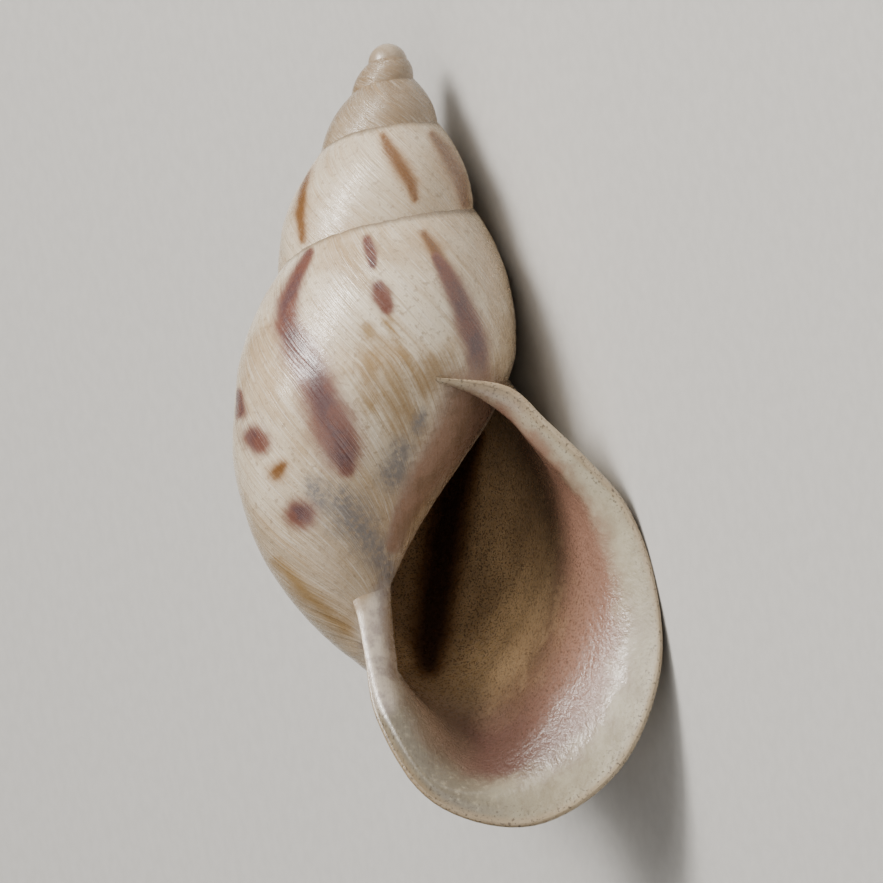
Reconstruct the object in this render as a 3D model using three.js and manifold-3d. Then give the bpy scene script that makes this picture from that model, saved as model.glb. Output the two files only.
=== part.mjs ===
// The empty shell of a tree snail, one piece: a hollow tube that coils down an axis to the right, widens
// whorl by whorl, and opens in a large mouth with a thin flared lip. Millimetres. The shell is first built
// about its own axis, apex up, with z counted from the point where the coil would vanish, and is then laid
// down as it rests.
import * as THREE from "three";
import Module from "manifold-3d";

// Growth. A size is stated at whorl FULL; w whorls further on it is size * exp(rate * w + bend * w * w).
const FULL = 5;
const SUTURE_RADIUS = { size: 8.85, rate: 0.253, bend: -0.108 };
const SUTURE_DROP = { size: 28.33, rate: 0.619, bend: 0.0367 };
const GIRTH_RADIUS = { size: 11.93, rate: 0.197, bend: -0.0694 };
const GIRTH_DROP = { size: 10.99, rate: -0.0306, bend: -0.1145 };
const BASE_DROP = { size: 26.82, rate: 0.169, bend: 0 };

// Whorl outline: the powers of its shoulder and base curves, and how far each whorl is rooted in the one
// above. The base is flatter where the mouth is laid over it.
const SHOULDER_POWER = 2.45;
const BASE_POWER = { free: 1.82, covered: 1.4 };
const BASE_ROUNDNESS = { free: 0.483, covered: 0.75 };
const FLAT_WHORLS = [3.4, 3.8];
const FREE_WHORLS = [4.2, 4.5];
const ROOTING = 0.06;
const PILLAR_RADIUS = 0.2;
const PILLAR_ROOTING = 1.2;
const PILLAR_CORE = [0.9, 0.78];
const PILLAR_WHORLS = [1.5, 4.45];
const ROOT_DEPTH = 0.35;

// Stations along the outline, as shares: suture at 0, girth, base of the pillar, top of the pillar at 1.
const GIRTH_AT = 0.36;
const BASE_AT = 0.86;

// Wall thickness: of the tube, thinner towards the apex, of the callus inside the lip, and at the lip's
// edge. Then the bulb at the apex, and how the tube eases into the mouth and flares there.
const WALL = 0.6;
const LIP_CALLUS = 1.4;
const LIP_WALL = 0.5;
const APEX_ROUNDING = 0.5;
const BULB_RADIUS = 1.4;
const BULB_DROP = 5.3;
const MOUTH_EASE = 1.9;
const FLARE_POWER = 2.6;
const PILLAR_FLARE = 2.5;

// How it lies: the direction, about its own axis, in which the ground is.
const GROUND_SIDE = new THREE.Vector3(0.88061, 0.40963, 0.23819);

// Facets. The tube is made of rings, so many to a whorl. Ring numbers count from the vanishing point: the
// apex, where the tube turns hollow, where each stretch of wall ends, and where the tube begins to open
// into the mouth.
const RINGS_PER_WHORL = 23.5;
const APEX_RING = 12;
const STRETCH = 16;
const HOLLOW_RINGS = [60, 76, 92, 108];
const MOUTH_RING = 113;
const MOUTH_RINGS = 11;
const OUTLINE_STEPS = [8, 13, 4];
const INNER_SIDE_STEPS = 3;
const FINEST = 0.01;

// Edge of the lip, from where it joins the body whorl, round the outer lip and base, to the top of the
// pillar.
const LIP_EDGE = [
  [3.6, -8.6, -29.7],
  [8.7, -8.4, -30.3],
  [11.2, -8.1, -32.5],
  [14.4, -7.7, -35.5],
  [16.8, -7.4, -38.3],
  [18.8, -7.2, -43.4],
  [19.3, -6.8, -50.1],
  [16.4, -6.2, -57.1],
  [10.5, -5.5, -60.8],
  [3.8, -4.6, -59.1],
  [-0.2, -3.8, -53.1],
  [-1.4, -2.9, -48.4],
  [-2.4, -2.2, -44.6],
  [-2.8, -1.9, -41],
];
const MOUTH_CENTRE = new THREE.Vector3(9, -7.5, -46);
const LIP_FACING = 0.8;

const wasm = await Module();
wasm.setup();

const { lerp, smoothstep } = THREE.MathUtils;
const grown = ({ size, rate, bend }, whorl) => {
  const w = whorl - FULL;
  return size * Math.exp(rate * w + bend * w * w);
};
const middle = (points) =>
  points.reduce((sum, p) => sum.add(p), new THREE.Vector3()).divideScalar(points.length);

// How far the base is flattened, from 0 to 1.
const flattened = (whorl) =>
  smoothstep(whorl, ...FLAT_WHORLS) * (1 - smoothstep(whorl, ...FREE_WHORLS));

// Radius and height of the whorl's outline at a share of the way from its suture to the top of the pillar.
// The inset moves the outline into the tube, by the wall's thickness for the inside.
function outline(whorl, share, inset) {
  const top = -grown(SUTURE_DROP, whorl) - 0.64 * inset;
  const girth = -grown(SUTURE_DROP, whorl) - grown(GIRTH_DROP, whorl);
  const base = -grown(SUTURE_DROP, whorl) - grown(BASE_DROP, whorl) + inset;
  const suture = grown(SUTURE_RADIUS, whorl) - 0.77 * inset;
  const widest = Math.max(grown(GIRTH_RADIUS, whorl) - inset, suture * 1.02);
  const pillar = PILLAR_RADIUS + inset;
  if (share < GIRTH_AT) {
    const v = (1 + ROOTING) * (share / GIRTH_AT) - ROOTING;
    return [suture + (widest - suture) * (1 - (1 - v) ** SHOULDER_POWER), top + (girth - top) * v];
  }
  if (share < BASE_AT) {
    const v = Math.sin((Math.PI / 2) * ((share - GIRTH_AT) / (BASE_AT - GIRTH_AT)));
    const covered = flattened(whorl);
    const power = lerp(BASE_POWER.free, BASE_POWER.covered, covered);
    const roundness = lerp(BASE_ROUNDNESS.free, BASE_ROUNDNESS.covered, covered);
    const curve = Math.max(0, 1 - v ** power) ** roundness;
    return [pillar + (widest - pillar) * curve, girth + (base - girth) * v];
  }
  const pillarTop = -grown(SUTURE_DROP, whorl - 1) - grown(BASE_DROP, whorl - 1) + PILLAR_ROOTING;
  const v = (share - BASE_AT) / (1 - BASE_AT);
  return [pillar, base + (pillarTop - base) * v];
}

const lipPoints = LIP_EDGE.map((p) => new THREE.Vector3(...p));
const lipCurve = new THREE.CatmullRomCurve3(lipPoints, false, "centripetal");

// A point of the lip's edge as radius, whorl and height. The inset moves it into the mouth at the top, and
// out of the face of the lip where the lip is flared.
function lip(share, inset) {
  const p = lipCurve.getPointAt(share);
  const inward = MOUTH_CENTRE.clone().sub(p).normalize();
  const facing = LIP_FACING * smoothstep(share, 0.03, 0.3);
  inward.multiplyScalar(1 - facing).add(new THREE.Vector3(0, -facing, 0)).normalize();
  p.addScaledVector(inward, inset);
  return [Math.hypot(p.x, p.y), FULL - Math.atan2(p.y, p.x) / (2 * Math.PI), p.z];
}

// The mouth's outline, progress 0 at the last regular whorl and 1 at the lip, as radius, whorl and height.
function mouth(progress, share, inset) {
  const [lipRadius, lipWhorl, lipHeight] = lip(share, inset);
  const start = MOUTH_RING / RINGS_PER_WHORL;
  const turned = 1 - (1 - progress) ** MOUTH_EASE;
  const whorl = start + (lipWhorl - start) * turned;
  const [radius, height] = outline(whorl, share, inset);
  const [endRadius, endHeight] = outline(lipWhorl, share, inset);
  const straight = smoothstep(share, 0.5, 0.8);
  const flare = lerp(progress ** FLARE_POWER, turned ** PILLAR_FLARE, straight);
  const drop = lerp(progress ** FLARE_POWER, turned, straight);
  return [radius + (lipRadius - endRadius) * flare, whorl, height + (lipHeight - endHeight) * drop];
}

const place = ([radius, whorl, height]) => {
  const angle = -2 * Math.PI * (whorl - FULL);
  return new THREE.Vector3(radius * Math.cos(angle), radius * Math.sin(angle), height);
};

// Shares of the stations that make one ring of the tube.
const [shoulderSteps, baseSteps, pillarSteps] = OUTLINE_STEPS;
const span = (from, to, steps) =>
  Array.from({ length: steps }, (_, i) => from + ((to - from) * i) / steps);
const SHARES = [
  ...span(0, GIRTH_AT, shoulderSteps),
  ...span(GIRTH_AT, BASE_AT, baseSteps),
  ...span(BASE_AT, 1, pillarSteps),
  1,
];

// A closed ring of points: the outline, then back to its start on the side that lies against the whorl
// above.
function ring(pointAt) {
  const points = SHARES.map(pointAt);
  const [first, last] = [points[0], points[points.length - 1]];
  for (let i = 1; i <= INNER_SIDE_STEPS; i++) {
    const v = i / (INNER_SIDE_STEPS + 1);
    points.push(last.map((value, axis) => value + (first[axis] - value) * v));
  }
  return points.map(place);
}

// Ring of the tube by its number, with the inset as a share of the wall. The first whorl is a bulb: its
// rings shrink about their centres towards the apex.
function tubeRing(number, depth) {
  const whorl = number / RINGS_PER_WHORL;
  const inset = depth * WALL * Math.min(1, grown(GIRTH_RADIUS, whorl) / GIRTH_RADIUS.size);
  const points = ring((share) => {
    const [radius, height] = outline(whorl, share, inset);
    return [radius, whorl, height];
  });
  const left = Math.max(0, 1 - (number - APEX_RING) / RINGS_PER_WHORL / APEX_ROUNDING);
  const scale = Math.max(0.15, Math.sqrt(1 - left ** 2));
  const centre = middle(points);
  return points.map((p) => p.sub(centre).multiplyScalar(scale).add(centre));
}

const tubeRings = (from, to, depth) =>
  Array.from({ length: to - from + 1 }, (_, i) => tubeRing(from + i, depth));
const mouthRings = (depth) =>
  Array.from({ length: MOUTH_RINGS }, (_, i) => {
    const progress = (i + 1) / MOUTH_RINGS;
    const callus = lerp(WALL, LIP_CALLUS, smoothstep(progress, 0.2, 0.7));
    const wall = lerp(callus, LIP_WALL, smoothstep(progress, 0.8, 1));
    return ring((share) => mouth(progress, share, depth * wall));
  });

// Triangles of the bands between rings, as a list of corners.
function bands(rings) {
  const corners = [];
  for (let i = 0; i + 1 < rings.length; i++) {
    const [a, b] = [rings[i], rings[i + 1]];
    a.forEach((point, j) => {
      const k = (j + 1) % a.length;
      corners.push(point, a[k], b[j], a[k], b[k], b[j]);
    });
  }
  return corners;
}

// An end of a filled stretch, dished towards the next ring.
function fan(points, next) {
  const centre = middle(points).lerp(middle(next), 0.5);
  return points.flatMap((p, j) => [centre, p, points[(j + 1) % points.length]]);
}

// A solid from a closed list of triangle corners, whichever way round they were listed. Corners at one
// place become one vertex, and a triangle that this flattens is dropped.
function solidFrom(corners) {
  const index = new Map();
  const vertices = [];
  const numbers = corners.map((p) => {
    const key = p.toArray().map((value) => Math.round(value * 1e5)).join(" ");
    if (!index.has(key)) {
      index.set(key, vertices.length / 3);
      vertices.push(p.x, p.y, p.z);
    }
    return index.get(key);
  });
  const triangles = numbers.filter((_, i) => {
    const [a, b, c] = numbers.slice(i - (i % 3), i - (i % 3) + 3);
    return a !== b && b !== c && c !== a;
  });
  const build = (list) =>
    new wasm.Manifold(
      new wasm.Mesh({
        numProp: 3,
        vertProperties: new Float32Array(vertices),
        triVerts: new Uint32Array(list),
      }),
    );
  const made = build(triangles);
  return made.volume() > 0 ? made : build(triangles.reverse());
}

function solidOf(geometry) {
  const position = geometry.toNonIndexed().getAttribute("position");
  return solidFrom(
    Array.from({ length: position.count }, (_, i) => new THREE.Vector3().fromBufferAttribute(position, i)),
  );
}

const filled = (rings) => {
  const [first, second] = rings;
  const [beforeLast, last] = rings.slice(-2);
  return solidFrom([...bands(rings), ...fan([...first].reverse(), second), ...fan(last, beforeLast)]);
};

// A stretch of tube, open at both ends: outside, far rim, inside and near rim make one closed surface.
const pipe = (outside, inside) => solidFrom(bands([...outside, ...[...inside].reverse(), outside[0]]));

// The tube from the apex to a ring, filled, in stretches of less than a whorl that share a ring's width.
function filledTube(start, end, depth) {
  const solids = [];
  for (let from = start; from < end; from += STRETCH) {
    solids.push(filled(tubeRings(from, Math.min(from + STRETCH + 1, end), depth)));
  }
  return solids.reduce((all, next) => all.add(next));
}

// Each stretch of wall stops a little way inside the whorl above it, which so becomes one side of the
// hollow.
const walls = HOLLOW_RINGS.map((from, i) => {
  const to = HOLLOW_RINGS[i + 1];
  const outside = tubeRings(from - 1, to ?? MOUTH_RING, 0);
  const inside = tubeRings(from - 1, to ?? MOUTH_RING, 1);
  if (!to) {
    outside.push(...mouthRings(0));
    inside.push(...mouthRings(1));
  }
  return pipe(outside, inside).subtract(filledTube(APEX_RING, from - 2, ROOT_DEPTH));
});

// The pillar closes the narrow bore that the coil leaves about its axis.
const pillarTop = -grown(SUTURE_DROP, PILLAR_WHORLS[0]);
const pillarFoot = -grown(SUTURE_DROP, PILLAR_WHORLS[1]) - grown(BASE_DROP, PILLAR_WHORLS[1]);
const pillarProfile = [
  new THREE.Vector2(0, pillarFoot),
  new THREE.Vector2(PILLAR_CORE[1], pillarFoot),
  new THREE.Vector2(PILLAR_CORE[0], pillarTop),
  new THREE.Vector2(0, pillarTop),
];
const pillar = solidOf(new THREE.LatheGeometry(pillarProfile, 9).rotateX(Math.PI / 2));

// The shell the snail hatched with is a smooth bulb that caps the coil.
const bulb = solidOf(new THREE.SphereGeometry(BULB_RADIUS, 14, 10).translate(0, 0, -BULB_DROP));

const shellSolid = [filledTube(APEX_RING, HOLLOW_RINGS[0], 0), ...walls, pillar, bulb]
  .reduce((all, next) => all.add(next))
  .simplify(FINEST);

// Lays the shell on its ground side, apex towards +X, with the origin below the middle of what it covers.
function layDown(geometry) {
  const up = GROUND_SIDE.clone().normalize().negate();
  const apexward = new THREE.Vector3(0, 0, 1);
  apexward.addScaledVector(up, -apexward.dot(up)).normalize();
  const sideways = up.clone().cross(apexward);
  geometry.applyMatrix4(new THREE.Matrix4().makeBasis(apexward, sideways, up).transpose());
  geometry.computeBoundingBox();
  const { min, max } = geometry.boundingBox;
  return geometry.translate(-(min.x + max.x) / 2, -(min.y + max.y) / 2, -min.z);
}

function geometryOf(solid) {
  const { vertProperties, triVerts } = solid.getMesh();
  const geometry = new THREE.BufferGeometry();
  geometry.setAttribute("position", new THREE.BufferAttribute(new Float32Array(vertProperties), 3));
  geometry.setIndex(new THREE.BufferAttribute(new Uint32Array(triVerts), 1));
  return geometry;
}

const shellGeometry = layDown(geometryOf(shellSolid));
shellGeometry.computeVertexNormals();

const shell = new THREE.Mesh(
  shellGeometry,
  new THREE.MeshStandardMaterial({ color: 0xd8cdb8, roughness: 0.4, metalness: 0 }),
);
shell.name = "shell";

const part = new THREE.Group();
part.add(shell);

export default part;
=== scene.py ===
"""A tree snail's empty shell, lying on a pale floor: a fine surface grown by the same laws as the solid
model, with growth lines, streaks, spots, a glazed lip and a speckled throat."""
import math

import bpy
import numpy as np
from mathutils import Matrix


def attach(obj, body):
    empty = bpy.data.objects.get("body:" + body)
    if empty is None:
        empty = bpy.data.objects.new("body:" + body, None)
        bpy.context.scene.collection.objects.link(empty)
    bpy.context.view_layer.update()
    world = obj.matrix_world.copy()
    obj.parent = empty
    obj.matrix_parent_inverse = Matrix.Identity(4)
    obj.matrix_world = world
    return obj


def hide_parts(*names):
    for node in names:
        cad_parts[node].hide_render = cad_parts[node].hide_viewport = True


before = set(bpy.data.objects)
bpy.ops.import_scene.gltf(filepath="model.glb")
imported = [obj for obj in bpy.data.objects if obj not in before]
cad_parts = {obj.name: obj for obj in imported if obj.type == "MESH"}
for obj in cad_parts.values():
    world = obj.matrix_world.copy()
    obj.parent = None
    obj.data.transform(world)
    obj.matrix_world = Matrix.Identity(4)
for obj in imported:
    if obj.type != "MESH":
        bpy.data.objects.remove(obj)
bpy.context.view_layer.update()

# Growth laws (size at whorl FULL, rate, bend), in millimetres about the shell's own axis, apex up.
FULL = 5.0
SUTURE_RADIUS = (8.85, 0.253, -0.108)
SUTURE_DROP = (28.33, 0.619, 0.0367)
GIRTH_RADIUS = (11.93, 0.197, -0.0694)
GIRTH_DROP = (10.99, -0.0306, -0.1145)
BASE_DROP = (26.82, 0.169, 0.0)
SHOULDER_POWER = 2.45
FREE_POWER, FREE_ROUNDNESS = 1.82, 0.483
COVERED_POWER, COVERED_ROUNDNESS = 1.4, 0.75
COVERED_FROM, COVERED_TO = (3.4, 3.8), (4.2, 4.5)
LEAST_SWELL = 1.02
ROOTING, PILLAR_RADIUS, PILLAR_ROOTING = 0.06, 0.2, 1.2
GIRTH_AT, BASE_AT = 0.36, 0.86
SUTURE_INSET_IN, SUTURE_INSET_DOWN = 0.77, 0.64
# The outside runs down to the pillar in a fillet that fades in and out over these whorls. Past it the base of
# both sheets rises round the pillar's end.
FILLET_DROP, FILLET_WIDTH, FILLET_REACH = 4.2, 2.0, (0.5, 0.9)
FILLET_FROM, FILLET_TO = (3.7, 4.0), (4.3, 4.7)
NAVEL_RISE, NAVEL_FROM = 2.5, (4.5, 4.85)
# The wall and its changes over the mouth's progress and over the share from suture to pillar.
WALL, LIP_CALLUS, LIP_WALL = 0.6, 1.4, 0.5
CALLUS_FROM, LIP_THINS = (0.2, 0.7), (0.8, 1.0)
LEAST_WALL, SUTURE_THINS, PILLAR_THINS = 0.1, (0.0, 0.08), (0.74, 0.94)
APEX_WHORL, APEX_ROUNDING, APEX_LEAST = 12 / 23.5, 0.5, 0.15
BULB_RADIUS, BULB_DROP = 1.4, 5.3
MOUTH_WHORL, MOUTH_EASE = 113 / 23.5, 1.9
FLARE_POWER, PILLAR_FLARE, PILLAR_SIDE = 2.6, 2.5, (0.5, 0.8)
LIP_EDGE = np.array([
    [3.6, -8.6, -29.7], [8.7, -8.4, -30.3], [11.2, -8.1, -32.5], [14.4, -7.7, -35.5],
    [16.8, -7.4, -38.3], [18.8, -7.2, -43.4], [19.3, -6.8, -50.1], [16.4, -6.2, -57.1],
    [10.5, -5.5, -60.8], [3.8, -4.6, -59.1], [-0.2, -3.7, -53.1], [-1.15, -2.6, -48.4],
    [-1.75, -1.75, -45.2], [-2.3, -1.6, -43.4], [-1.5, -0.8, -40.5],
])
MOUTH_CENTRE = np.array([9.0, -7.5, -46.0])
LIP_FACING, LIP_FACES_FROM = 0.8, (0.03, 0.3)
RIM_BULGE = 0.8
FAR_FROM_LIP = 60

# Growth lines slant back from the suture, and ridges and dents stand up from the surface, in millimetres.
SLANT, SLANT_LOSS, SLANT_WHORL = 0.5, 0.13, 3.4
RIDGE_HEIGHT, DENT_HEIGHT, DENT_GRAIN = 0.03, 0.06, 3.4
RIDGES, FINE_RIDGES, FINE_WEIGHT = (70, 3), (150, 5), 0.6
RELIEF_FROM, RELIEF_ENDS = (1.5, 4.0), (0.9, 1.0)

# Rows and columns of the surface. Rows get closer at the two whorls in FINER_AT.
SHOULDER_COLUMNS, BELOW_COLUMNS, PILLAR_COLUMNS = 30, 44, 12
GIRTH_COLUMN = 40
FINER_AT, OUTER_ROWS, INNER_ROWS = (2.5, 3.6), (70, 120, 250), (140,)
INNER_START, MOUTH_ROWS, RIM_STEPS = 3.9, 111, 9
BULB_ROWS, BULB_COLUMNS = 25, 49
SPLINE_STEPS, LIP_POINTS = 40, 1001
NOISE_STEP, NOISE_SCALE = np.array([127.1, 311.7, 74.7]), 43758.5453

# How it lies, and where the middle of its footprint is.
GROUND_SIDE = np.array([0.88061, 0.40963, 0.23819])
SHIFT = np.array([32.2158, 1.8986, 3.2662])
MM_PER_METRE = 1000

# The picture: the axis leans back from the viewer and a little aside. UNIT is the millimetres in one of its
# 883 units.
LEAN, ASIDE, UNIT, POLE = 0.2119, 0.0096, 0.07, (388.55, -11.75)
FRAME, LENS, SENSOR, MID_DEPTH, NEAREST = 883, 1000.0, 36.0, 6.0, 0.05
FLOOR_HALF = 3


def unit(v):
    return v / np.linalg.norm(v, axis=-1, keepdims=True)


up = -unit(GROUND_SIDE)
apexward = unit(np.array([0, 0, 1.0]) - up[2] * up)
LYING = np.stack([apexward, np.cross(up, apexward), up])
leaned = np.array([0, -math.sin(LEAN), math.cos(LEAN)])
PIC_UP = math.cos(ASIDE) * leaned - math.sin(ASIDE) * np.array([1.0, 0, 0])
PIC_RIGHT = math.cos(ASIDE) * np.array([1.0, 0, 0]) + math.sin(ASIDE) * leaned
PIC_OUT = np.cross(PIC_RIGHT, PIC_UP)


def smooth(x, low, high):
    """Rises from 0 at low to 1 at high, with soft ends."""
    v = np.clip((x - low) / (high - low), 0, 1)
    return v * v * (3 - 2 * v)


def grown(law, whorl):
    """Size that a growth law gives at a whorl."""
    w = whorl - FULL
    return law[0] * np.exp(law[1] * w + law[2] * w * w)


def outline(whorl, share, inset):
    """Radius and height of a whorl's outline, from its suture (share 0) to the pillar's top (share 1)."""
    top = -grown(SUTURE_DROP, whorl) - SUTURE_INSET_DOWN * inset
    girth = -grown(SUTURE_DROP, whorl) - grown(GIRTH_DROP, whorl)
    base = -grown(SUTURE_DROP, whorl) - grown(BASE_DROP, whorl) + inset
    suture = grown(SUTURE_RADIUS, whorl) - SUTURE_INSET_IN * inset
    widest = np.maximum(grown(GIRTH_RADIUS, whorl) - inset, suture * LEAST_SWELL)
    pillar = PILLAR_RADIUS + inset
    v = np.minimum((1 + ROOTING) * (share / GIRTH_AT) - ROOTING, 1)
    shoulder = suture + (widest - suture) * (1 - (1 - v) ** SHOULDER_POWER), top + (girth - top) * v
    v = np.sin(math.pi / 2 * np.clip((share - GIRTH_AT) / (BASE_AT - GIRTH_AT), 0, 1))
    covered = smooth(whorl, *COVERED_FROM) * (1 - smooth(whorl, *COVERED_TO))
    power = FREE_POWER + (COVERED_POWER - FREE_POWER) * covered
    roundness = FREE_ROUNDNESS + (COVERED_ROUNDNESS - FREE_ROUNDNESS) * covered
    curve = np.maximum(0, 1 - v**power) ** roundness
    radius = pillar + (widest - pillar) * curve
    fillet = FILLET_DROP * smooth(whorl, *FILLET_FROM) * (1 - smooth(whorl, *FILLET_TO)) * np.equal(inset, 0)
    fillet = fillet - NAVEL_RISE * smooth(whorl, *NAVEL_FROM)
    near_pillar = smooth(v, *FILLET_REACH) * np.exp(-(radius - pillar) / FILLET_WIDTH)
    below = radius, girth + (base - girth) * v - fillet * near_pillar
    base = base - fillet
    pillar_top = -grown(SUTURE_DROP, whorl - 1) - grown(BASE_DROP, whorl - 1) + PILLAR_ROOTING
    v = (share - BASE_AT) / (1 - BASE_AT)
    column = pillar + 0 * v, base + (pillar_top - base) * v
    place = [share < GIRTH_AT, share < BASE_AT]
    return [np.select(place, [shoulder[i], below[i]], column[i]) for i in (0, 1)]


def smooth_curve(points, count):
    """Points evenly spaced along a centripetal spline through the given ones."""
    ends = [2 * points[0] - points[1], *points, 2 * points[-1] - points[-2]]
    dense = []
    for a, b, c, d in zip(ends, ends[1:], ends[2:], ends[3:]):
        s0, s1, s2 = (np.linalg.norm(q - p) ** 0.5 for p, q in ((a, b), (b, c), (c, d)))
        m1 = s1 * ((b - a) / s0 - (c - a) / (s0 + s1) + (c - b) / s1)
        m2 = s1 * ((c - b) / s1 - (d - b) / (s1 + s2) + (d - c) / s2)
        for v in np.linspace(0, 1, SPLINE_STEPS, endpoint=False):
            h = (2 * v**3 - 3 * v**2 + 1, v**3 - 2 * v**2 + v, -2 * v**3 + 3 * v**2, v**3 - v**2)
            dense.append(h[0] * b + h[1] * m1 + h[2] * c + h[3] * m2)
    dense = np.array([*dense, points[-1]])
    run = np.concatenate([[0], np.cumsum(np.linalg.norm(np.diff(dense, axis=0), axis=1))])
    along = np.linspace(0, run[-1], count)
    return np.stack([np.interp(along, run, dense[:, i]) for i in range(3)], 1)


LIP_FINE = smooth_curve(LIP_EDGE, LIP_POINTS)


def lip(share, inset):
    """Radius, whorl and height of the lip's edge, set in towards the mouth and the viewer."""
    even = np.linspace(0, 1, LIP_POINTS)
    edge = np.stack([np.interp(share, even, LIP_FINE[:, i]) for i in range(3)], -1)
    facing = (LIP_FACING * smooth(share, *LIP_FACES_FROM))[..., None]
    inward = unit(unit(MOUTH_CENTRE - edge) * (1 - facing) + np.array([0, -1.0, 0]) * facing)
    x, y, z = np.moveaxis(edge + inset[..., None] * inward, -1, 0)
    return np.hypot(x, y), FULL - np.arctan2(y, x) / (2 * math.pi), z


def mouth(progress, share, inset):
    """Radius, whorl and height from where the tube leaves the coil (progress 0) to the lip (progress 1)."""
    lip_radius, lip_whorl, lip_height = lip(share, inset)
    turned = 1 - (1 - progress) ** MOUTH_EASE
    whorl = MOUTH_WHORL + (lip_whorl - MOUTH_WHORL) * turned
    radius, height = outline(whorl, share, inset)
    end_radius, end_height = outline(lip_whorl, share, inset)
    straight = smooth(share, *PILLAR_SIDE)
    flare = progress**FLARE_POWER * (1 - straight) + turned**PILLAR_FLARE * straight
    drop = progress**FLARE_POWER * (1 - straight) + turned * straight
    return radius + (lip_radius - end_radius) * flare, whorl, height + (lip_height - end_height) * drop


def spot(radius, whorl, height):
    """Point in the shell's own axes."""
    angle = -2 * math.pi * (whorl - FULL)
    return np.stack([radius * np.cos(angle), radius * np.sin(angle), height], -1)


def value_noise(p):
    """Smooth noise from -1 to 1 at points given in units of its grain."""
    base = np.floor(p)
    f = p - base
    f = f * f * (3 - 2 * f)
    total = 0
    for corner in np.ndindex(2, 2, 2):
        q = base + corner
        h = np.sin(q @ NOISE_STEP) * NOISE_SCALE
        weight = np.prod(np.where(np.array(corner) == 1, f, 1 - f), -1)
        total = total + weight * (2 * (h - np.floor(h)) - 1)
    return total


SHARES = np.concatenate([
    np.linspace(0, GIRTH_AT, SHOULDER_COLUMNS, endpoint=False),
    np.linspace(GIRTH_AT, BASE_AT, BELOW_COLUMNS, endpoint=False),
    np.linspace(BASE_AT, 1, PILLAR_COLUMNS),
])


def sheet(start, rows_per_whorl, inset_share):
    """A sheet of the tube from a whorl to the lip: points, whorl, share and mouth progress of each."""
    stops = [whorl for whorl in (start, *FINER_AT, MOUTH_WHORL) if whorl >= start]
    whorls = []
    for (a, b), rows in zip(zip(stops, stops[1:]), rows_per_whorl):
        whorls.extend(np.linspace(a, b, max(2, round((b - a) * rows)), endpoint=False))
    coil_whorl, coil_share = np.meshgrid(np.array(whorls), SHARES, indexing="ij")
    inset = inset_share * WALL * np.minimum(1, grown(GIRTH_RADIUS, coil_whorl) / GIRTH_RADIUS[0])
    radius, height = outline(coil_whorl, coil_share, inset)
    points = spot(radius, coil_whorl, height)
    left = np.maximum(0, 1 - (coil_whorl - APEX_WHORL) / APEX_ROUNDING)
    centre = points.mean(1, keepdims=True)
    points = centre + (points - centre) * np.maximum(APEX_LEAST, np.sqrt(1 - left**2))[..., None]
    progress, mouth_share = np.meshgrid(np.linspace(0, 1, MOUTH_ROWS), SHARES, indexing="ij")
    wall = WALL + (LIP_CALLUS - WALL) * smooth(progress, *CALLUS_FROM)
    wall = wall + (LIP_WALL - wall) * smooth(progress, *LIP_THINS)
    full = smooth(mouth_share, *SUTURE_THINS) * (1 - smooth(mouth_share, *PILLAR_THINS))
    wall = wall * (LEAST_WALL + (1 - LEAST_WALL) * full)
    radius, whorl, height = mouth(progress, mouth_share, inset_share * wall)
    return (
        np.concatenate([points, spot(radius, whorl, height)]),
        np.concatenate([coil_whorl, whorl]),
        np.concatenate([coil_share, mouth_share]),
        np.concatenate([0 * coil_whorl, progress]),
    )


def normals_of(grid):
    return unit(np.cross(np.gradient(grid, axis=0), np.gradient(grid, axis=1)) + 1e-12)


def growth_of(whorl, share):
    """Number of the growth line through a point. Lines slant more up the spire."""
    return whorl + share * (SLANT - SLANT_LOSS * (whorl - SLANT_WHORL))


def relief(points, whorl, share):
    """Height of the growth ridges and shallow dents, in millimetres."""
    number = growth_of(whorl, share)
    ridges = value_noise(np.stack([number * RIDGES[0], share * RIDGES[1], 0 * number], -1))
    fine_at = np.stack([number * FINE_RIDGES[0] + 7, share * FINE_RIDGES[1], 0 * number + 3], -1)
    ridges = ridges + FINE_WEIGHT * value_noise(fine_at)
    dents = value_noise(points / DENT_GRAIN)
    size = smooth(whorl, *RELIEF_FROM)
    return size * (RIDGE_HEIGHT * ridges + DENT_HEIGHT * dents)


def away(points, normals):
    """How far the normals along the girth point away from the axis, in all."""
    return np.sum(normals[:, GIRTH_COLUMN] * points[:, GIRTH_COLUMN] * np.array([1, 1, 0]))


outer, outer_whorl, outer_share, outer_progress = sheet(APEX_WHORL, OUTER_ROWS, 0)
inner, inner_whorl, inner_share, _ = sheet(INNER_START, INNER_ROWS, 1)
outward = normals_of(outer)
if away(outer, outward) < 0:
    outward = -outward
facing_in = normals_of(inner)
if away(inner, facing_in) > 0:
    facing_in = -facing_in
near_lip = smooth(outer_progress, *RELIEF_ENDS)
raised = relief(outer, outer_whorl, outer_share) * (1 - near_lip)
outer = outer + outward * raised[..., None]

# The rim: a rounded edge from the outer sheet's end to the inner one's.
edge_out, edge_in = outer[-1], inner[-1]
middle = (edge_out + edge_in) / 2
half = (edge_in - edge_out) / 2
ahead = unit(unit(outer[-1] - outer[-3]) + unit(inner[-1] - inner[-3]))
ahead = unit(ahead - unit(half) * np.sum(ahead * unit(half), -1, keepdims=True))
bulge = RIM_BULGE * np.linalg.norm(half, axis=-1, keepdims=True)
turns = np.linspace(0, math.pi, RIM_STEPS)[1:-1, None, None]
rim = middle - half * np.cos(turns) + ahead * bulge * np.sin(turns)

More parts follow.
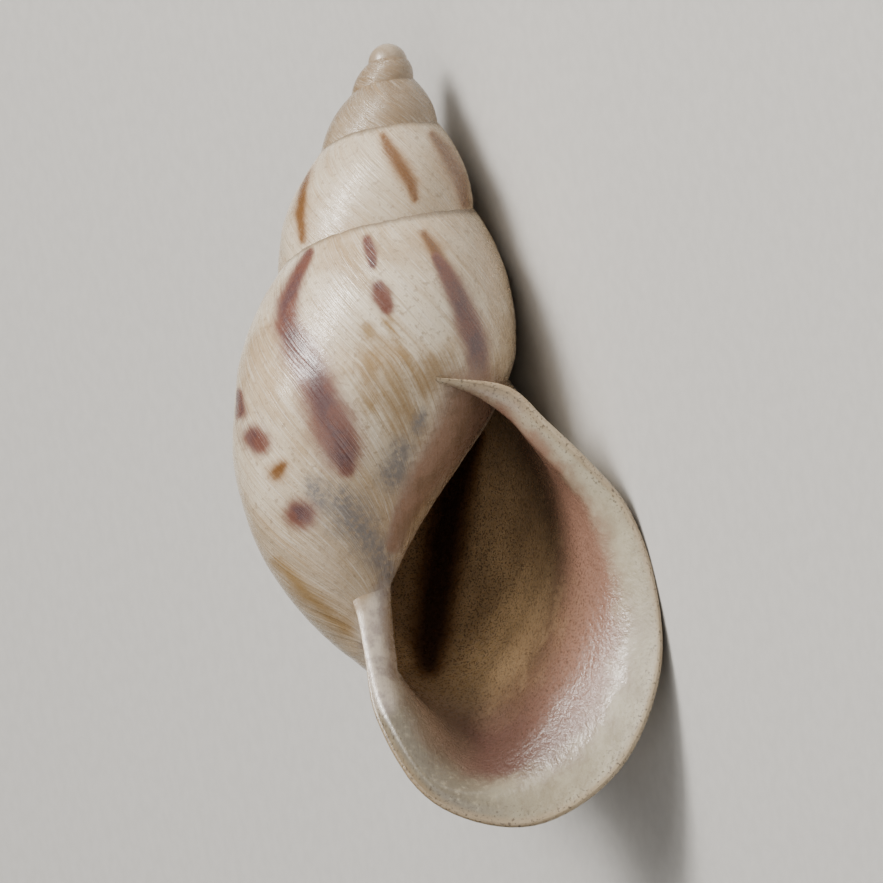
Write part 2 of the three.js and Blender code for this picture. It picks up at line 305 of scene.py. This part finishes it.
# One surface: outside, round the rim, and back along the inside. Each vertex has its whorl, its share, its
# side of the wall (0 outside, 1 inside) and its distance from the lip in millimetres.
grid = np.concatenate([outer, rim, inner[::-1]])
rows, columns = grid.shape[:2]
rim_rows = len(rim)
whorl = np.concatenate([outer_whorl, np.repeat(outer_whorl[-1:], rim_rows, 0), inner_whorl[::-1]])
share = np.concatenate([outer_share, np.repeat(outer_share[-1:], rim_rows, 0), inner_share[::-1]])
inside = np.concatenate([0 * outer_whorl, 0.5 + 0 * rim[..., 0], 1 + 0 * inner_whorl])
steps = np.linalg.norm(np.diff(inner[::-1], axis=0), axis=-1)
depth = np.concatenate([0 * steps[:1], np.cumsum(steps, 0)])
steps = np.linalg.norm(np.diff(outer[::-1], axis=0), axis=-1)
behind = np.concatenate([0 * steps[:1], np.cumsum(steps, 0)])[::-1]
lip_distance = np.minimum(np.concatenate([behind, 0 * rim[..., 0], depth]), FAR_FROM_LIP)
surface_normal = np.concatenate([outward, np.repeat(outward[-1:], rim_rows, 0), facing_in[::-1]])

# Markings: strokes of (across, down, half width) in the picture's units, laid on the side that the picture
# shows.
PURPLE = [
    [
        (310, 252, 5), (296, 280, 9), (287, 305, 12), (287, 326, 14), (298, 347, 18), (311, 370, 20),
        (322, 398, 22), (334, 427, 25), (343, 450, 22), (347, 468, 10),
    ],
    [(436, 258, 5), (445, 272, 9), (457, 294, 12), (467, 320, 14), (476, 344, 14), (479, 372, 11)],
    [(367, 240, 5), (371, 252, 7), (373, 266, 5)],
    [(379, 288, 8), (382, 296, 11), (387, 308, 8)],
    [(238, 394, 6), (240, 412, 8)],
    [(254, 437, 13), (259, 443, 13)],
    [(299, 513, 15), (303, 514, 15)],
]
RUST = [
    [(311, 158, 4), (303, 188, 5), (300, 215, 6), (303, 241, 4)],
    [(383, 136, 4), (390, 150, 7), (401, 167, 8), (411, 184, 7), (415, 200, 4)],
    [(432, 134, 4), (446, 153, 8), (459, 177, 9), (465, 204, 6)],
    [(424, 234, 4), (433, 248, 6), (443, 266, 7), (452, 284, 4)],
    [(277, 473, 8), (283, 466, 6)],
]
OCHRE = [
    [(368, 330, 8), (371, 338, 6)],
    [(387, 322, 5), (399, 345, 6), (416, 374, 5)],
    [(376, 356, 18), (366, 380, 17), (374, 404, 14)],
    [(392, 372, 26), (402, 404, 30), (418, 428, 22)],
    [(436, 366, 20), (424, 386, 18)],
    [(276, 560, 5), (305, 592, 7), (345, 628, 8)],
]
SMUDGE = [
    [(424, 412, 6), (418, 428, 8)],
    [(401, 452, 14), (394, 474, 16)],
    [(312, 486, 10), (320, 500, 9)],
    [(342, 506, 18), (354, 522, 22), (370, 538, 16), (386, 566, 12), (392, 584, 8)],
]
CALLUS = [[(474, 398, 40), (452, 440, 30), (421, 482, 20), (402, 516, 14), (394, 545, 10)]]
BAND = [[(476, 438, 10), (463, 462, 16), (450, 510, 21), (438, 585, 21), (430, 640, 19), (428, 662, 14)]]
ENAMEL = [[(384, 588, 7), (375, 606, 12), (372, 632, 13), (376, 664, 12), (384, 700, 12)]]
# On the far side streaks follow the growth lines: (growth line, first share, last share, half width in
# millimetres). They waver and fade out towards their ends.
FAR_PURPLE = [(4.9, 0.06, 0.42, 1.0), (4.68, 0.1, 0.5, 1.3), (4.46, 0.05, 0.36, 0.9), (4.3, 0.3, 0.55, 0.8)]
FAR_RUST = [(3.95, 0.05, 0.4, 0.4), (3.72, 0.05, 0.38, 0.4), (3.5, 0.05, 0.4, 0.35), (4.82, 0.45, 0.6, 0.7)]

WAVER, WAVES, WAVE_SHIFT, END_FADE = 0.012, 23, 40, 0.05
# A stroke's field where there is no stroke.
NONE = -3.0

across = POLE[0] + grid @ PIC_RIGHT / UNIT
down = POLE[1] - grid @ PIC_UP / UNIT
to_viewer = surface_normal @ PIC_OUT
seen = smooth(to_viewer, 0.0, 0.18)
turned_near = smooth(to_viewer, -0.2, 0.1)
HARDLY_SEEN, SIDE_REACH = 0.02, 0.6


def strokes(groups):
    """1 on a stroke's line, 0 at its edge and below 0 outside, at each vertex of the grid."""
    best = np.full(across.shape, NONE)
    for line in groups:
        for (x0, y0, w0), (x1, y1, w1) in zip(line, line[1:]):
            dx, dy = x1 - x0, y1 - y0
            v = np.clip(((across - x0) * dx + (down - y0) * dy) / (dx * dx + dy * dy), 0, 1)
            d = np.hypot(across - x0 - v * dx, down - y0 - v * dy)
            best = np.maximum(best, 1 - d / (w0 + (w1 - w0) * v))
    return best


def far_strokes(groups):
    """The same field for streaks that follow the growth lines."""
    best = np.full(across.shape, NONE)
    number = growth_of(whorl, share)
    girdle = 2 * math.pi * np.hypot(grid[..., 0], grid[..., 1])
    for line, first, last, width in groups:
        waver = WAVER * np.sin(share * WAVES + line * WAVE_SHIFT)
        d = np.abs(number - line - waver) * girdle
        ends = np.minimum(share - first, last - share) / END_FADE
        best = np.maximum(best, np.minimum(1 - d / width, ends))
    return best


def on(front, far, field_side):
    """Field of the strokes on one side of the wall, those seen in front and those on the far side."""
    best = np.where(seen > HARDLY_SEEN, front + NONE * (1 - seen), NONE)
    if far is not None:
        best = np.maximum(best, far + NONE * turned_near)
    return np.where(np.abs(inside - field_side) < SIDE_REACH, np.clip(best, NONE, 1), NONE)


# Each layer holds two numbers, and the last one needs only its first.
fields = {
    "growth": (growth_of(whorl, share), share),
    "place": (inside, lip_distance),
    "streak": (
        on(strokes(PURPLE), far_strokes(FAR_PURPLE), 0),
        on(strokes(RUST), far_strokes(FAR_RUST), 0),
    ),
    "stain": (on(strokes(OCHRE), None, 0), on(strokes(SMUDGE), None, 0)),
    "glaze": (on(strokes(CALLUS), None, 0), on(strokes(BAND), None, 1)),
    "fold": (on(strokes(ENAMEL), None, 0.5), 0 * share),
}

quads = np.arange(rows * columns).reshape(rows, columns)
quads = np.stack([quads[:-1, :-1], quads[:-1, 1:], quads[1:, 1:], quads[1:, :-1]], -1).reshape(-1, 4)
points = grid.reshape(-1, 3)
values = {name: np.stack([f.reshape(-1) for f in pair], 1) for name, pair in fields.items()}

# The bulb that caps the coil.
lat, lon = np.meshgrid(
    np.linspace(0, math.pi, BULB_ROWS), np.linspace(0, 2 * math.pi, BULB_COLUMNS), indexing="ij",
)
bulb = BULB_RADIUS * np.stack([np.sin(lat) * np.cos(lon), np.sin(lat) * np.sin(lon), np.cos(lat)], -1)
bulb = bulb.reshape(-1, 3) - np.array([0, 0, BULB_DROP])
cap = np.arange(BULB_ROWS * BULB_COLUMNS).reshape(BULB_ROWS, BULB_COLUMNS) + len(points)
cap = np.stack([cap[:-1, :-1], cap[1:, :-1], cap[1:, 1:], cap[:-1, 1:]], -1).reshape(-1, 4)
flat = {
    "growth": (0.9, 0.2), "place": (0, FAR_FROM_LIP), "streak": (NONE, NONE), "stain": (NONE, NONE),
    "glaze": (NONE, NONE), "fold": (NONE, 0),
}
points = np.concatenate([points, bulb])
quads = np.concatenate([quads, cap])
values = {name: np.concatenate([v, np.tile(flat[name], (len(bulb), 1))]) for name, v in values.items()}

lying = (points @ LYING.T + SHIFT) / MM_PER_METRE
mesh = bpy.data.meshes.new("shell_surface")
mesh.from_pydata(lying.tolist(), [], quads.tolist())
mesh.validate()
corner = np.zeros(len(mesh.loops), np.int32)
mesh.loops.foreach_get("vertex_index", corner)
for name, v in values.items():
    layer = mesh.uv_layers.new(name=name)
    layer.data.foreach_set("uv", v[corner].astype(np.float32).reshape(-1))
mesh.shade_smooth()
shell = bpy.data.objects.new("shell_surface", mesh)
bpy.context.collection.objects.link(shell)
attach(shell, "root")
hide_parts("shell")


class Graph:
    """Short calls for shader nodes: a number or colour is set on a socket, an output is linked to it."""

    def __init__(self, name):
        self.material = bpy.data.materials.new(name)
        self.material.use_nodes = True
        self.tree = self.material.node_tree
        self.shader = self.tree.nodes["Principled BSDF"]

    def put(self, socket, value):
        if isinstance(value, bpy.types.NodeSocket):
            self.tree.links.new(value, socket)
        else:
            socket.default_value = value

    def node(self, kind, out=0, inputs=None, **settings):
        made = self.tree.nodes.new(kind)
        for key, value in settings.items():
            setattr(made, key, value)
        for key, value in (inputs or {}).items():
            self.put(made.inputs[key], value)
        return made.outputs[out]

    def math(self, operation, a, b=0.0):
        return self.node("ShaderNodeMath", operation=operation, inputs={0: a, 1: b})

    def step(self, value, low, high, to=(0.0, 1.0)):
        """Goes softly from the first value of `to` at low to its second at high. Low may be the greater."""
        return self.node(
            "ShaderNodeMapRange", interpolation_type="SMOOTHSTEP",
            inputs={"Value": value, "From Min": low, "From Max": high, "To Min": to[0], "To Max": to[1]},
        )

    def mix(self, share, a, b):
        """Colour a where share is 0 and colour b where it is 1."""
        a, b = ((*c, 1) if isinstance(c, tuple) else c for c in (a, b))
        made = self.tree.nodes.new("ShaderNodeMix")
        made.data_type = "RGBA"
        for socket, value in ((made.inputs[0], share), (made.inputs[6], a), (made.inputs[7], b)):
            self.put(socket, value)
        return made.outputs[2]

    def pair(self, name):
        """The two numbers of a layer."""
        split = self.tree.nodes.new("ShaderNodeSeparateXYZ")
        self.tree.links.new(self.node("ShaderNodeUVMap", uv_map=name), split.inputs[0])
        return split.outputs[0], split.outputs[1]

    def noise(self, vector, scale, detail=3.0, roughness=0.55):
        return self.node(
            "ShaderNodeTexNoise",
            inputs={"Vector": vector, "Scale": scale, "Detail": detail, "Roughness": roughness},
        )

    def vector(self, x, y, z=0.0):
        return self.node("ShaderNodeCombineXYZ", inputs={0: x, 1: y, 2: z})


g = Graph("shell_glaze")
line, station = g.pair("growth")
side, lip_mm = g.pair("place")
purple, rust = g.pair("streak")
ochre, smudge = g.pair("stain")
callus, band = g.pair("glaze")
enamel = g.pair("fold")[0]
spot_at = g.node("ShaderNodeTexCoord", out=3)


def stria(lines, down_scale, detail):
    """Noise drawn out along the growth lines."""
    stretched = g.vector(g.math("MULTIPLY", line, lines), g.math("MULTIPLY", station, down_scale))
    return g.noise(stretched, 1.0, detail)


hair = stria(520.0, 9.0, 2.0)
fine = stria(230.0, 6.0, 3.0)
broad = stria(60.0, 4.0, 4.0)
clouds = g.noise(spot_at, 130.0, 5.0, 0.6)
mottle = g.noise(spot_at, 520.0, 5.0, 0.65)
grain = g.noise(spot_at, 2400.0, 4.0, 0.65)
specks = g.noise(spot_at, 5200.0, 2.0, 0.5)
dots = g.noise(spot_at, 7600.0, 1.0, 0.5)
wander = g.math("MULTIPLY", g.math("SUBTRACT", mottle, 0.5), 1.7)
ragged = g.math("ADD", wander, g.math("MULTIPLY", g.math("SUBTRACT", fine, 0.5), 1.4))


def over(under, share, weight, colour):
    """Lays a colour over another by a share of a weight."""
    return g.mix(g.math("MULTIPLY", share, weight), under, colour)


# Outside: ivory with tan clouds, dirt and growth lines, darker up the spire and towards the base: partly the
# shell's own tan, partly painted shade where the light falls off on the spire and on the underside.
ivory = g.mix(g.step(clouds, 0.38, 0.66), (0.70, 0.60, 0.455), (0.48, 0.355, 0.22))
# Darker towards the base: partly the shell's tan, partly painted shade on the underside of the whorls.
ivory = over(ivory, g.step(station, 0.44, 0.66), 0.65, (0.33, 0.22, 0.115))
ivory = over(ivory, g.step(line, 4.2, 3.0), 0.4, (0.40, 0.28, 0.16))
# Painted shade: the upper spire is darkened strongly, beyond its own tan, for the light falling off towards
# the top and right.
spire = g.math("MULTIPLY", g.step(line, 3.3, 2.6), g.step(clouds, 0.3, 0.6, (0.6, 1.0)))
ivory = over(ivory, spire, 0.8, (0.17, 0.105, 0.05))
ivory = over(ivory, g.step(broad, 0.5, 0.72), 0.6, (0.40, 0.27, 0.14))
ivory = over(ivory, g.step(fine, 0.53, 0.72), 0.5, (0.34, 0.24, 0.14))
ivory = over(ivory, g.step(hair, 0.5, 0.3), 0.4, (0.84, 0.79, 0.71))
ivory = over(ivory, g.step(grain, 0.52, 0.68), 0.55, (0.27, 0.185, 0.11))
streaky = g.math("ADD", wander, g.math("MULTIPLY", g.math("SUBTRACT", fine, 0.5), 3.0))
ivory = over(ivory, g.step(g.math("ADD", ochre, streaky), -0.8, 1.2), 0.85, (0.28, 0.17, 0.065))
smudge_at = g.step(g.math("ADD", smudge, g.math("MULTIPLY", wander, 1.4)), -0.7, 0.9)
smudge_at = g.math("MULTIPLY", smudge_at, g.step(grain, 0.36, 0.56, (0.5, 1.0)))
ivory = over(ivory, smudge_at, 0.85, (0.165, 0.15, 0.145))
rust_at = g.math("ADD", rust, g.math("MULTIPLY", ragged, 0.3))
ivory = over(ivory, g.step(rust_at, -1.2, 0.6), 0.6, (0.30, 0.15, 0.055))
ivory = over(ivory, g.step(rust_at, -0.3, 0.8), 0.9, (0.15, 0.06, 0.013))
purple_at = g.math("ADD", purple, g.math("MULTIPLY", ragged, 0.28))
ivory = over(ivory, g.step(purple_at, -0.5, 0.5), 0.9, (0.19, 0.083, 0.062))
plum = g.mix(g.step(mottle, 0.42, 0.6), (0.085, 0.042, 0.046), (0.14, 0.054, 0.04))
ivory = over(ivory, g.step(purple_at, 0.0, 0.8), 0.85, plum)
seam = g.step(g.math("ADD", station, g.math("MULTIPLY", wander, 0.014)), 0.038, 0.018)
ivory = over(ivory, g.math("MULTIPLY", seam, g.step(lip_mm, 0.5, 4.0)), 0.75, (0.11, 0.07, 0.035))
callus_at = g.step(g.math("ADD", callus, g.math("MULTIPLY", wander, 0.35)), -0.15, 0.5)
veil = g.mix(g.step(mottle, 0.4, 0.62), (0.28, 0.165, 0.11), (0.21, 0.125, 0.075))
ivory = over(ivory, callus_at, 0.9, veil)

# Inside: grey-white lip, dusky pink band, wider below, then a brown throat full of dark dots, with painted
# light and shade in the throat and painted shade on the lower pink and the lower lip.
reach = g.math("ADD", lip_mm, g.math("MULTIPLY", g.math("SUBTRACT", mottle, 0.5), 3.4))
# Painted light and shade in the throat: darker near the lip where the lamp shines in, lighter on the lower
# floor and deep inside where shadow falls.
shelf_painted_shade_and_light = g.mix(g.step(station, 0.58, 0.7), (0.085, 0.052, 0.031), (0.40, 0.28, 0.18))
throat = g.mix(g.step(lip_mm, 12.5, 22.0), shelf_painted_shade_and_light, (0.66, 0.445, 0.235))
throat = over(throat, g.step(clouds, 0.4, 0.65), 0.4, (0.2, 0.12, 0.06))
throat = over(throat, g.step(mottle, 0.48, 0.66), 0.25, (0.32, 0.22, 0.125))
band_at = g.math("ADD", band, g.math("MULTIPLY", wander, 0.3))
throat = over(throat, g.step(band_at, -0.6, 0.25), 0.8, (0.16, 0.065, 0.018))
throat = over(throat, g.step(band_at, -0.1, 0.7), 0.93, (0.03, 0.013, 0.007))
# Painted shade: the pink darkens in its lower middle, partly its own mauve-brown and partly shade.
pink = g.mix(g.step(station, 0.44, 0.62), (0.25, 0.135, 0.095), (0.11, 0.058, 0.045))
pink = g.mix(g.step(station, 0.66, 0.78), pink, (0.30, 0.205, 0.145))
deep = g.math("SUBTRACT", reach, g.step(station, 0.5, 0.68, (0.0, 2.5)))
lining = g.mix(g.step(deep, 15.0, 7.0), throat, pink)
dotted = g.math("MULTIPLY", g.step(dots, 0.52, 0.64), g.step(lip_mm, 3.0, 9.0))
lining = over(lining, dotted, 0.65, (0.045, 0.025, 0.014))
chalk = g.mix(g.step(mottle, 0.38, 0.62), (0.41, 0.362, 0.258), (0.33, 0.282, 0.196))
# Grime with dark specks on the lower lip, which also serves as painted shade where the lower-left lip turns
# away from the light.
grime_and_painted_shade = g.math("MULTIPLY", g.step(station, 0.56, 0.7), g.step(grain, 0.1, 0.55))
chalk = over(chalk, grime_and_painted_shade, 0.85, (0.135, 0.115, 0.085))
upper = g.step(station, 0.3, 0.08, (0.0, 2.6))
lining = g.mix(g.step(g.math("ADD", reach, upper), 5.3, 1.7), lining, chalk)
pillar_at = g.math("MULTIPLY", g.step(station, 0.8, 0.88), g.step(lip_mm, 16.0, 8.0))
pillar_colour = g.mix(g.step(mottle, 0.42, 0.65), (0.44, 0.36, 0.28), (0.28, 0.21, 0.15))
lining = g.mix(pillar_at, lining, pillar_colour)

# The lining covers the inside. At the lip's inner end it gives way to the outside's colours, tinted darker
# by painted shade, and a pale enamel lies along the pillar.
within = g.step(side, 0.4, 0.6)
fused = g.math("MULTIPLY", g.step(station, 0.88, 0.92), g.step(lip_mm, 9.0, 5.0))
lined = g.math("MULTIPLY", within, g.math("SUBTRACT", 1.0, fused))
colour = g.mix(lined, ivory, lining)
# Painted shade: the top of the lit pale strip is darkened to match the shaded body whorl it meets.
root = g.math("MULTIPLY", g.step(station, 0.905, 0.945), within)
colour = over(colour, g.math("MULTIPLY", root, fused), 0.75, (0.25, 0.17, 0.095))
enamel_at = g.step(g.math("ADD", enamel, g.math("MULTIPLY", wander, 0.5)), -0.7, 0.7)
pearl = g.mix(g.step(mottle, 0.42, 0.62), (0.52, 0.455, 0.375), (0.28, 0.235, 0.215))
colour = over(colour, enamel_at, 0.85, pearl)
rim_at = g.math("MULTIPLY", g.step(lip_mm, 0.6, 0.1), g.step(station, 0.86, 0.74))
colour = over(colour, rim_at, 0.6, (0.30, 0.215, 0.12))
edge_mm = g.math("ADD", lip_mm, g.math("MULTIPLY", wander, 2.0))
specked = g.math("MULTIPLY", g.step(specks, 0.57, 0.65), g.step(edge_mm, 2.0, -0.4))
specked = g.math("MULTIPLY", specked, g.step(station, 0.9, 0.78))
colour = over(colour, specked, 0.8, (0.06, 0.04, 0.025))
g.put(g.shader.inputs["Base Color"], colour)

# Gloss, and the relief too fine for the mesh.
worn = g.step(grain, 0.35, 0.65, (0.2, 0.38))
g.put(g.shader.inputs["Roughness"], g.math("ADD", worn, g.math("MULTIPLY", rim_at, 0.2)))
g.shader.inputs["Coat Weight"].default_value = 0.5
g.shader.inputs["Coat Roughness"].default_value = 0.14
pimples = g.math("MULTIPLY", g.step(reach, 8.5, 5.5), g.step(reach, 2.6, 4.5))
pimples = g.math("MULTIPLY", g.math("MULTIPLY", pimples, within), g.math("MULTIPLY", grain, 1.6))
lines = g.math("ADD", g.math("MULTIPLY", fine, 0.9), g.math("MULTIPLY", hair, 0.5))
smoothed = g.math("MAXIMUM", g.math("MULTIPLY", callus_at, 0.85), g.math("MULTIPLY", within, 0.8))
lines = g.math("MULTIPLY", lines, g.math("SUBTRACT", 1.0, smoothed))
relief_height = g.math("ADD", g.math("ADD", lines, g.math("MULTIPLY", grain, 0.35)), pimples)
bump = g.node(
    "ShaderNodeBump", inputs={"Height": relief_height, "Strength": 0.5, "Distance": 0.00014},
)
g.put(g.shader.inputs["Normal"], bump)
g.put(g.shader.inputs["Coat Normal"], bump)
mesh.materials.append(g.material)

# Floor, camera and light.
floor_mesh = bpy.data.meshes.new("floor")
floor_corners = [(x * FLOOR_HALF, y * FLOOR_HALF, 0) for x, y in ((-1, -1), (1, -1), (1, 1), (-1, 1))]
floor_mesh.from_pydata(floor_corners, [], [(0, 1, 2, 3)])
floor = bpy.data.objects.new("floor", floor_mesh)
bpy.context.collection.objects.link(floor)
f = Graph("floor_paper")
paper = f.noise(f.node("ShaderNodeTexCoord", out=3), 900.0, 3.0)
pale = f.mix(f.step(paper, 0.3, 0.7), (0.50, 0.49, 0.47), (0.53, 0.52, 0.50))
f.put(f.shader.inputs["Base Color"], pale)
f.shader.inputs["Roughness"].default_value = 0.8
floor_mesh.materials.append(f.material)


def to_row(point):
    """A point in the shell's own axes, in millimetres, given in the row's frame, in metres."""
    return (LYING @ point + SHIFT) / MM_PER_METRE


def turned_to_row(direction):
    """A direction in the shell's own axes, given in the row's frame."""
    return LYING @ direction


aim = ((FRAME / 2 - POLE[0]) * PIC_RIGHT - (FRAME / 2 - POLE[1]) * PIC_UP) * UNIT + PIC_OUT * MID_DEPTH
distance = FRAME * UNIT * LENS / SENSOR
camera_data = bpy.data.cameras.new("camera")
camera_data.lens = LENS
camera_data.sensor_width = SENSOR
camera_data.clip_start = NEAREST
camera = bpy.data.objects.new("camera", camera_data)
turn = np.stack([turned_to_row(v) for v in (PIC_RIGHT, PIC_UP, PIC_OUT)], 1)
stand = Matrix.Translation(to_row(aim + PIC_OUT * distance).tolist())
camera.matrix_world = stand @ Matrix(turn.tolist()).to_4x4()
bpy.context.collection.objects.link(camera)
bpy.context.scene.camera = camera


def lamp(name, right, above, out, metres, size, watts, colour):
    """A soft square lamp placed by the picture's own directions, turned to the shell."""
    z = turned_to_row(unit(right * PIC_RIGHT + above * PIC_UP + out * PIC_OUT))
    place = to_row(aim) + z * metres
    data = bpy.data.lights.new(name, "AREA")
    data.size = size
    data.energy = watts
    data.color = colour
    made = bpy.data.objects.new(name, data)
    x = unit(np.cross([0, 0, 1.0], z))
    facing = Matrix(np.stack([x, np.cross(z, x), z], 1).tolist()).to_4x4()
    made.matrix_world = Matrix.Translation(place.tolist()) @ facing
    bpy.context.collection.objects.link(made)


lamp("key", -0.76, 0.6, 0.46, 0.6, 0.55, 3.9, (1.0, 0.96, 0.9))
lamp("window", -0.8, 0.55, 0.42, 0.6, 0.2, 4.4, (1.0, 0.97, 0.93))
lamp("front", -0.35, -0.12, 0.93, 0.8, 0.6, 1.1, (1.0, 0.98, 0.95))
lamp("low", -0.4, -0.75, 0.6, 0.7, 0.5, 1.1, (1.0, 0.98, 0.95))

world = bpy.data.worlds.new("studio")
bpy.context.scene.world = world
world.use_nodes = True
world.node_tree.nodes["Background"].inputs["Color"].default_value = (1, 1, 1, 1)
world.node_tree.nodes["Background"].inputs["Strength"].default_value = 0.05
